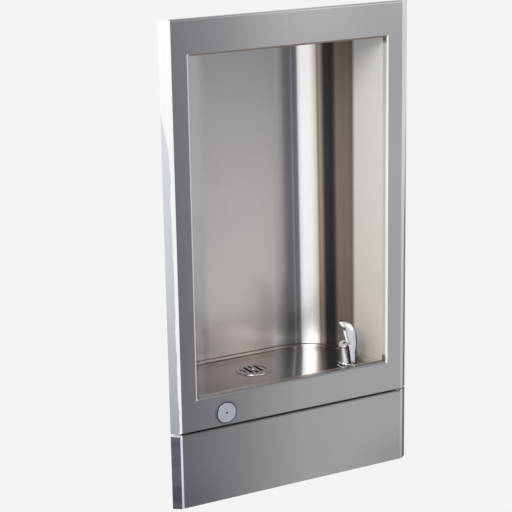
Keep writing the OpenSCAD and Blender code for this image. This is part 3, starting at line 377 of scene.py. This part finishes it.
alcoveLook = dict(
    centre=(0.0741, 0.078),  # of the rear corner in plan, row frame
    sheetMiddle=0.04,        # a depth inside the alcove, to tell its outside from its inside
    foot=0.23, height=0.58,  # of the alcove, for tones by height
    # a thin brown line over the basin's edge, fainter on the sides
    seam=(-0.2176, -0.2186), seamTone=(104, 90, 82), seamFades=0.6,
    span=100,  # degrees that the painted reflections' ramps run over
    # painted reflections round the right corner, by degrees from the back wall: the side wall begins at 81
    paintedReflections=[(0, (172, 169, 169)), (5, (150, 148, 150)), (9, (118, 116, 120)), (13, (104, 102, 108)),
             (16, (110, 108, 114)), (17.5, (134, 132, 137)), (19, (104, 102, 108)), (22.5, (118, 117, 122)),
             (24.5, (232, 232, 236)), (28, (255, 255, 255)), (36, (255, 255, 254)), (39.5, (244, 238, 230)),
             (42, (232, 222, 211)), (44.5, (150, 130, 116)), (47, (176, 162, 152)), (49.5, (130, 116, 108)),
             (51.5, (66, 63, 64)), (60, (62, 60, 62)), (63, (104, 94, 88)), (66, (172, 158, 149)),
             (71, (172, 156, 147)), (76, (166, 149, 139)), (81, (174, 157, 147)), (87, (156, 140, 131)),
             (90, (156, 144, 136)), (93, (214, 206, 199)), (97, (240, 234, 228))],
    # the painted reflections on the left corner are plainer
    leftPaintedReflections=[(0, (178, 176, 176)), (20, (184, 181, 181)), (45, (178, 175, 174)), (60, (158, 155, 154)),
                 (72, (164, 160, 158)), (90, (170, 165, 162))],
    # the painted reflections waver, lean towards the side as they come down, and are set back a little
    waver=0.02, lean=0.05, setBack=0.012,
    whiteReflection=((0.235, 0.26), (0.42, 0.37)),  # the painted white reflection, where the sheet is more of a mirror
    # painted light on the side walls and on the back wall, by height
    sideTones=[(0, (240, 233, 228)), (0.5, (246, 241, 236)), (1, (250, 248, 245))],
    sideFrom=(0.002, -0.008),
    backTones=[(0, (206, 199, 196)), (0.25, (194, 190, 188)), (0.6, (176, 172, 171)), (1, (162, 162, 165))],
    backFrom=(0.004, -0.012), backClimb=0.3,
    plain=(176, 175, 177), plainMetallic=0.9,  # outside, and the ceiling
    brush=(420, 420, 6), grain=0.035,
    wave=0.10, waveScale=3.0, waveStretch=(1, 1, 0.25), waveShift=(0.3, 0.1, 0),
    band=0.16, bandScale=5.0, bandStretch=(0.35, 0.35, 1.6), bandShift=(0, 0.4, 0.2),
    roughness=0.26, roughGrain=0.04, sideRough=0.2, bump=(0.008, 0.0003),
    metallic=0.62, sideDull=0.52, backDull=0.12, whiteGloss=0.33,
)


def alcoveTone(steel, wave):
    # painted reflections and light on the bent sheet, and how far a point is on the side, the back and the
    # white reflection
    look = alcoveLook
    across, inward = abs(steel.x) - look["centre"][0], steel.y - look["centre"][1]
    turn = across.maths("ARCTAN2", across, inward) * (180 / math.pi / look["span"])
    turn = turn + (wave - 0.5) * look["waver"] + steel.z * look["lean"] - look["setBack"]
    # painted reflections round the corners
    left, right = (steel.ramp(turn, [(degrees / look["span"], rgb) for degrees, rgb in look[paintedReflections]])
                   for paintedReflections in ("leftPaintedReflections", "paintedReflections"))
    corner = steel.mix(steel.x.around(0, 0.01), left, right)
    share = (steel.z + look["foot"]) / look["height"]
    side = inward.step(*look["sideFrom"])
    back = across.step(*look["backFrom"])
    rises, falls = look["whiteReflection"]
    white = steel.x.step(0, 0.01) * turn.step(*rises) * turn.step(*falls)
    # painted light on the side walls, then on the back wall
    base = steel.mix(side, corner, steel.ramp(share, look["sideTones"]))
    base = steel.mix(back, base, steel.ramp(share + steel.x * look["backClimb"], look["backTones"]))
    return base, side, back, white


def alcoveSteel():
    steel = Finish("alcoveSteel")
    look = alcoveLook
    brush = steel.noise(1.0, 3, look["brush"], 0.6)
    wave = steel.noise(look["waveScale"], 2, look["waveStretch"], shift=look["waveShift"])
    band = steel.noise(look["bandScale"], 3, look["bandStretch"], shift=look["bandShift"])
    base, side, back, white = alcoveTone(steel, wave)
    base = steel.mix(steel.z.step(*look["seam"]) * (1 - side * look["seamFades"]), base, look["seamTone"])
    # the sheet's outside, and both sides of the ceiling, are plain
    leanX, leanY, leanZ = steel.parts(steel.node("ShaderNodeTexCoord", out="Normal"))
    outside = (leanX * steel.x + leanY * (steel.y - look["sheetMiddle"])).step(0.0, 0.002)
    plain = outside.larger(abs(leanZ).step(0.5, 0.6))
    base = steel.mix(plain, base, look["plain"])
    change = (brush - 0.5) * look["grain"] + (wave - 0.5) * look["wave"] + (band - 0.5) * look["band"] + 1
    inner = look["metallic"] - side * look["sideDull"] - back * look["backDull"] + white * look["whiteGloss"]
    steel.use(Base_Color=steel.shaded(base, change),
              Roughness=look["roughness"] + (brush - 0.5) * look["roughGrain"] + side * look["sideRough"],
              Metallic=inner.larger(plain * look["plainMetallic"]))
    steel.bump(brush, *look["bump"])
    return steel.material


basinLook = dict(
    drain=(-0.020, 0.099),          # middle of the drain in plan, row frame
    edgeHeight=(-0.2243, -0.2237),  # the upturned edge begins here
    # painted reflections of the bent corner on the floor, by x less 0.6 y
    stripeLean=0.6, stripeHalf=0.20, waver=0.006,
    cornerReflections=[(-0.20, (100, 94, 92)), (-0.15, (98, 92, 90)), (-0.108, (112, 105, 102)), (-0.06, (130, 121, 116)),
             (-0.036, (124, 116, 112)), (-0.018, (112, 108, 109)), (-0.012, (106, 103, 105)),
             (-0.004, (114, 112, 116)), (0.001, (150, 143, 142)), (0.004, (200, 192, 188)),
             (0.008, (124, 120, 122)), (0.018, (146, 144, 148)), (0.0215, (246, 244, 242)),
             (0.037, (252, 249, 245)), (0.0415, (225, 216, 210)), (0.047, (170, 160, 155)),
             (0.054, (126, 116, 113)), (0.066, (98, 93, 93)), (0.078, (84, 82, 86)), (0.09, (88, 84, 84)),
             (0.10, (108, 103, 104)), (0.125, (116, 106, 100)), (0.138, (128, 116, 106)),
             (0.15, (196, 180, 164)), (0.19, (204, 190, 176))],
    front=((0.13, 0.03), (0.05, -0.06), 0.42),  # in shade at the front left: depths, places across and share
    ring=(0.036, 0.031), ringShare=0.4, ringTone=(76, 72, 72),  # shade round the drain
    under=(168, 167, 169), underFrom=(0.4, 0.6),
    brush=(6, 420, 420), grain=0.08, wave=0.14, waveScale=4.0,
    roughness=0.22, roughGrain=0.06, metallic=0.7, edgeDull=0.2, bump=(0.02, 0.0003),
)


def basinSteel():
    steel = Finish("basinSteel")
    look = basinLook
    brush = steel.noise(1.0, 3, look["brush"], 0.6)
    wave = steel.noise(look["waveScale"], 2)
    half = look["stripeHalf"]
    # painted reflections of the bent corner on the floor
    lean = (steel.x - steel.y * look["stripeLean"] + half) / (2 * half) + (wave - 0.5) * look["waver"]
    base = steel.ramp(lean, [((at + half) / (2 * half), rgb) for at, rgb in look["cornerReflections"]])
    away = steel.reach(steel.x - look["drain"][0], steel.y - look["drain"][1])
    base = steel.mix(away.step(*look["ring"]) * look["ringShare"], base, look["ringTone"])
    edge = steel.z.step(*look["edgeHeight"])
    # the upturned edge takes the alcove's painted reflections and light
    base = steel.mix(edge, base, alcoveTone(steel, wave)[0])
    base = steel.mix(steel.facing((0, 0, -1)).step(*look["underFrom"]), base, look["under"])
    depths, places, share = look["front"]
    shade = steel.y.step(*depths) * steel.x.step(*places) * share
    change = (brush - 0.5) * look["grain"] + (wave - 0.5) * look["wave"] + 1 - shade
    steel.use(Base_Color=steel.shaded(base, change),
              Roughness=look["roughness"] + (brush - 0.5) * look["roughGrain"],
              Metallic=look["metallic"] - edge * look["edgeDull"])
    steel.bump(brush, *look["bump"])
    return steel.material


buttonLook = dict(
    centre=(-0.131, -0.247),  # across and up, row frame
    # painted shade: darker on the rim, dark on the side in the gap, and in the pinhole in the middle
    plate=(172, 176, 187), rim=(124, 126, 134), side=(58, 58, 64),
    pinholeShade=(46, 48, 56), dotEdge=(0.0020, 0.0016),
    plateFrom=(0.90, 0.98), sideFrom=(0.45, 0.25),
    ringsPerMetre=9000, ringShare=0.02,  # faint rings turned into the plate, as an angle per metre
    grain=0.05, grainScale=160.0, cloud=0.08, cloudScale=40.0,
    roughness=0.3, roughGrain=0.08, metallic=0.85, rimDull=0.4, bump=(0.02, 0.0002),
)


def buttonSteel():
    steel = Finish("buttonSteel")
    look = buttonLook
    fleck = steel.noise(look["grainScale"], 3)
    cloud = steel.noise(look["cloudScale"], 2)
    away = steel.reach(steel.x - look["centre"][0], steel.z - look["centre"][1])
    angle = away * look["ringsPerMetre"]
    front = steel.facing((0, -1, 0))
    # painted shade on the rim, on the side and in the pinhole
    base = steel.mix(front.step(*look["plateFrom"]), look["rim"], look["plate"])
    base = steel.mix(front.step(*look["sideFrom"]), base, look["side"])
    base = steel.mix(away.step(*look["dotEdge"]), base, look["pinholeShade"])
    change = ((fleck - 0.5) * look["grain"] + (cloud - 0.5) * look["cloud"]
              + angle.maths("SINE", angle) * look["ringShare"] + 1)
    steel.use(Base_Color=steel.shaded(base, change),
              Roughness=look["roughness"] + (fleck - 0.5) * look["roughGrain"],
              Metallic=look["metallic"] - front.step(*reversed(look["plateFrom"])) * look["rimDull"])
    steel.bump(fleck, *look["bump"])
    return steel.material


chromeGrain = dict(fleck=140.0, roughGrain=0.05, bandWaver=0.10, bump=(0.01, 0.0002))


def finishChrome(chrome, base, fleck, grain, roughness):
    chrome.use(Base_Color=chrome.shaded(base, (fleck - 0.5) * grain + 1),
               Roughness=roughness + (fleck - 0.5) * chromeGrain["roughGrain"])
    chrome.bump(fleck, *chromeGrain["bump"])
    return chrome.material


baseLook = dict(
    aside=(0.878, -0.479, 0.0),  # direction along which the painted reflection bands lie
    # painted reflections in bands, a painted highlight on top and painted shade underneath
    reflectionBands=[(0.0, (34, 36, 44)), (0.07, (120, 122, 130)), (0.18, (206, 207, 212)), (0.30, (250, 250, 252)),
           (0.40, (232, 233, 238)), (0.52, (190, 192, 202)), (0.68, (178, 181, 193)), (0.80, (206, 208, 216)),
           (0.87, (150, 152, 162)), (0.94, (66, 68, 78)), (1.0, (30, 31, 38))],
    topFrom=(0.45, 0.85), top=(240, 240, 243),
    underFrom=(-0.15, -0.7), under=(40, 40, 46),
    swirl=38.0, grain=0.05, roughness=0.09,
)
nozzleLook = dict(
    aside=(0.917, -0.399, 0.0),
    # painted reflections in bands, white on the lit side, and a painted highlight on top
    reflectionBands=[(0.0, (96, 97, 105)), (0.12, (128, 130, 138)), (0.24, (168, 170, 180)), (0.36, (206, 208, 216)),
           (0.47, (228, 229, 234)), (0.56, (255, 255, 255)), (1.0, (255, 255, 255))],
    topFrom=(0.45, 0.75), top=(244, 238, 230),
    underFrom=(-0.25, -0.7), under=(52, 50, 54),  # the underside of the round head is in shade
    swirl=70.0, grain=0.06, roughness=0.16,
    metallic=0.5, whiteDull=0.4, whiteFrom=(0.1, 0.5),
)


def bandedChrome(name, look):
    chrome = Finish(name)
    fleck = chrome.noise(chromeGrain["fleck"], 3)
    swirl = chrome.noise(look["swirl"], 2)
    aside, up = chrome.facing(look["aside"]), chrome.facing((0, 0, 1))
    # painted reflections by facing, a painted highlight on top, painted shade underneath
    base = chrome.ramp(aside * 0.5 + 0.5 + (swirl - 0.5) * chromeGrain["bandWaver"], look["reflectionBands"])
    base = chrome.mix(up.step(*look["topFrom"]), base, look["top"])
    base = chrome.mix(up.step(*look["underFrom"]), base, look["under"])
    if "metallic" in look:
        chrome.use(Metallic=look["metallic"] - aside.step(*look["whiteFrom"]) * look["whiteDull"])
    return finishChrome(chrome, base, fleck, look["grain"], look["roughness"])


hoodLook = dict(
    at=(0.126, 0.024, -0.2142),   # the bubbler on its base's top, row frame
    ahead=(0.917, -0.399, 0.0),   # from the hood's mouth to its back
    left=(0.399, 0.917, 0.0),     # across the hood, towards the alcove's back
    height=0.075,
    viewed=(-0.458, -0.848, 0.265),  # the side that the painted reflections and dark outline are painted for
    # the channel's middle line, by share of the height, in shares of 30 mm from -15 mm
    middle=[(0, 0.83), (0.4, 0.80), (0.6, 0.70), (0.75, 0.54), (0.9, 0.32), (1, 0.18)],
    middleSpan=0.03, before=0.015,
    # the open edge by share of the height, in shares of 20 mm from -15 mm
    edge=[(0, 0.95), (0.26, 0.875), (0.41, 0.79), (0.50, 0.66), (0.59, 0.515), (0.68, 0.4525),
          (0.77, 0.3975), (0.85, 0.31), (0.915, 0.17), (0.955, 0.07), (0.97, 0.02)],
    edgeSpan=0.02,
    # inside by share of the height: painted shade behind the nozzle, a painted highlight on the lip, painted
    # shade above it
    inside=[(0, (34, 34, 46)), (0.46, (26, 26, 38)), (0.53, (150, 150, 156)), (0.58, (238, 238, 236)),
            (0.74, (244, 243, 240)), (0.79, (96, 90, 100)), (0.86, (92, 88, 98)), (0.90, (226, 226, 230)),
            (1, (240, 240, 242))],
    # painted reflections outside, from its near edge round to the dark outline
    outside=[(0, (214, 215, 222)), (0.18, (204, 206, 216)), (0.29, (196, 198, 208)), (0.36, (150, 152, 161)),
             (0.43, (92, 94, 103)), (0.8, (80, 82, 91)), (1, (76, 78, 88))],
    # painted highlights and shade along the open edge: how far in from it, between which heights, and the tone
    fold=((0.0056, 0.0044), (0.44, 0.50), (0.84, 0.78), 0.6, (122, 122, 132)),
    tip=((0.0055, 0.0030), (0.87, 0.90), (0.985, 0.965)),
    lip=((0.0036, 0.0024), (0.50, 0.56), (0.80, 0.77), 1, (250, 250, 248)),
    edgeShade=((0.0062, 0.0036), (0.79, 0.815), (0.885, 0.86), 0.9, (66, 61, 72)),
    # a soft highlight on the upper bend: middle, slope, half width and half length
    glint=dict(ahead=0.0058, up=0.0640, slope=(0.55, 0.83), half=(0.0024, 0.0008), length=(0.0068, 0.0034)),
    glintTone=(250, 250, 250),
    swirl=60.0, waver=0.06, grain=0.05, roughness=0.14,
)


def hoodChrome():
    chrome = Finish("hoodChrome")
    look = hoodLook
    fleck = chrome.noise(chromeGrain["fleck"], 3)
    swirl = chrome.noise(look["swirl"], 2)
    local = chrome.node("ShaderNodeVectorMath", {"operation": "SUBTRACT"}, {0: chrome.spot, 1: look["at"]})
    ahead, left = chrome.along(local, look["ahead"]), chrome.along(local, look["left"])
    rise = chrome.along(local, (0, 0, 1)) / look["height"]
    middle = chrome.curve(rise, look["middle"]) * look["middleSpan"] - look["before"]
    outward = (ahead - middle) * chrome.facing(look["ahead"]) + left * chrome.facing(look["left"])
    fromEdge = ahead - (chrome.curve(rise, look["edge"]) * look["edgeSpan"] - look["before"])

    def mark(inFrom, starts, ends):
        return fromEdge.step(*inFrom) * rise.step(*starts) * rise.step(*ends)

    def marked(base, name):
        *place, strength, colour = look[name]
        return chrome.mix(mark(*place) * strength, base, colour)

    glint = look["glint"]
    steep, flat = glint["slope"][1], glint["slope"][0]
    onward, upward = ahead - glint["ahead"], rise * look["height"] - glint["up"]
    shine = (abs(onward * steep + upward * flat).step(*glint["half"])
             * abs(onward * flat - upward * steep).step(*glint["length"]))
    # painted reflections round the outside, darkening to the outline
    rounded = 1 - chrome.facing(look["viewed"]) + (swirl - 0.5) * look["waver"]
    base = marked(chrome.ramp(rounded, look["outside"]), "fold")
    base = chrome.mix(shine.larger(mark(*look["tip"])), base, look["glintTone"])
    base = marked(marked(base, "lip"), "edgeShade")
    # painted shade and highlights on the inside faces
    base = chrome.mix(outward.around(0, -0.0002), base, chrome.ramp(rise, look["inside"]))
    return finishChrome(chrome, base, fleck, look["grain"], look["roughness"])


fittingGrain = dict(cloudSize=8, roughGrain=0.12, bumpDepth=0.0003)


def plainMetal(name, colour, roughness, grain, scale, metallic=1.0, bump=0.05):
    # fine flecks, and clouds some eight times their size
    metal = Finish(name, metallic)
    fleck = metal.noise(scale, 4)
    cloud = metal.noise(scale / fittingGrain["cloudSize"], 2)
    change = (fleck - 0.5) * grain + (cloud - 0.5) * grain + 1
    metal.use(Base_Color=metal.shaded(colour, change),
              Roughness=roughness + (fleck - 0.5) * fittingGrain["roughGrain"])
    metal.bump(fleck, bump, fittingGrain["bumpDepth"])
    return metal.material


finishes = dict(
    hood=hoodChrome(),
    nozzle=bandedChrome("nozzleChrome", nozzleLook),
    face=faceSteel(),
    alcove=alcoveSteel(),
    basin=basinSteel(),
    chrome=bandedChrome("polishedChrome", baseLook),
    lever=plainMetal("leverChrome", (214, 215, 219), roughness=0.12, grain=0.05, scale=40, bump=0.01),
    ring=plainMetal("drainRing", (150, 148, 148), roughness=0.28, grain=0.12, scale=90),
    # the orifice insert is painted dark, as the shade inside the nozzle's hole
    spout=plainMetal("shadedSpoutInsert", (60, 52, 46), roughness=0.4, grain=0.2, scale=200, metallic=0.6),
    satin=plainMetal("satinChrome", (206, 206, 208), roughness=0.22, grain=0.06, scale=90),
    strainer=plainMetal("strainerSteel", (124, 122, 122), roughness=0.3, grain=0.16, scale=120),
    button=buttonSteel(),
    bezel=plainMetal("bezelSteel", (112, 111, 116), roughness=0.4, grain=0.08, scale=120, metallic=0.6),
    galvanised=plainMetal("galvanisedSteel", (170, 176, 180), roughness=0.45, grain=0.30, scale=70),
    zinc=plainMetal("zincPlate", (190, 190, 188), roughness=0.3, grain=0.12, scale=220),
    brass=plainMetal("machinedBrass", (196, 160, 92), roughness=0.3, grain=0.12, scale=160),
    copper=plainMetal("drawnCopper", (200, 128, 92), roughness=0.3, grain=0.14, scale=60),
    spring=plainMetal("springWire", (120, 120, 124), roughness=0.35, grain=0.1, scale=200),
    rubber=plainMetal("blackRubber", (34, 34, 35), roughness=0.7, grain=0.2, scale=120, metallic=0.0),
)
wears = dict(
    face="front_panel access_panel",
    alcove="alcove_wall alcove_ceiling",
    basin="basin",
    chrome="bubbler_base",
    hood="bubbler_hood",
    nozzle="bubbler_nozzle",
    lever="stop_handle",
    ring="drain_flange strainer_screw",
    spout="bubbler_orifice",
    satin="tailpiece stop_valve",
    bezel="button_bezel",
    strainer="drain_strainer",
    button="push_button",
    galvanised="mounting_frame frame_cleats hook_cleats fixing_tabs panel_brackets",
    zinc="panel_screws panel_nuts tab_screws handle_screw regulator_screw push_rod",
    brass="bubbler_washer bubbler_locknut drain_washer drain_locknut drain_coupling_nut "
          "button_locknut valve_bonnet valve_body compression_nuts line_strainer stop_stem",
    copper="outlet_tube inlet_tube strainer_tube",
    spring="button_spring",
    rubber="bubbler_gasket drain_gasket valve_seal",
)
for finish, names in wears.items():
    for name in names.split():
        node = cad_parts[name]
        node.data.materials.clear()
        node.data.materials.append(finishes[finish])
print("finishes on", sum(len(names.split()) for names in wears.values()), "nodes")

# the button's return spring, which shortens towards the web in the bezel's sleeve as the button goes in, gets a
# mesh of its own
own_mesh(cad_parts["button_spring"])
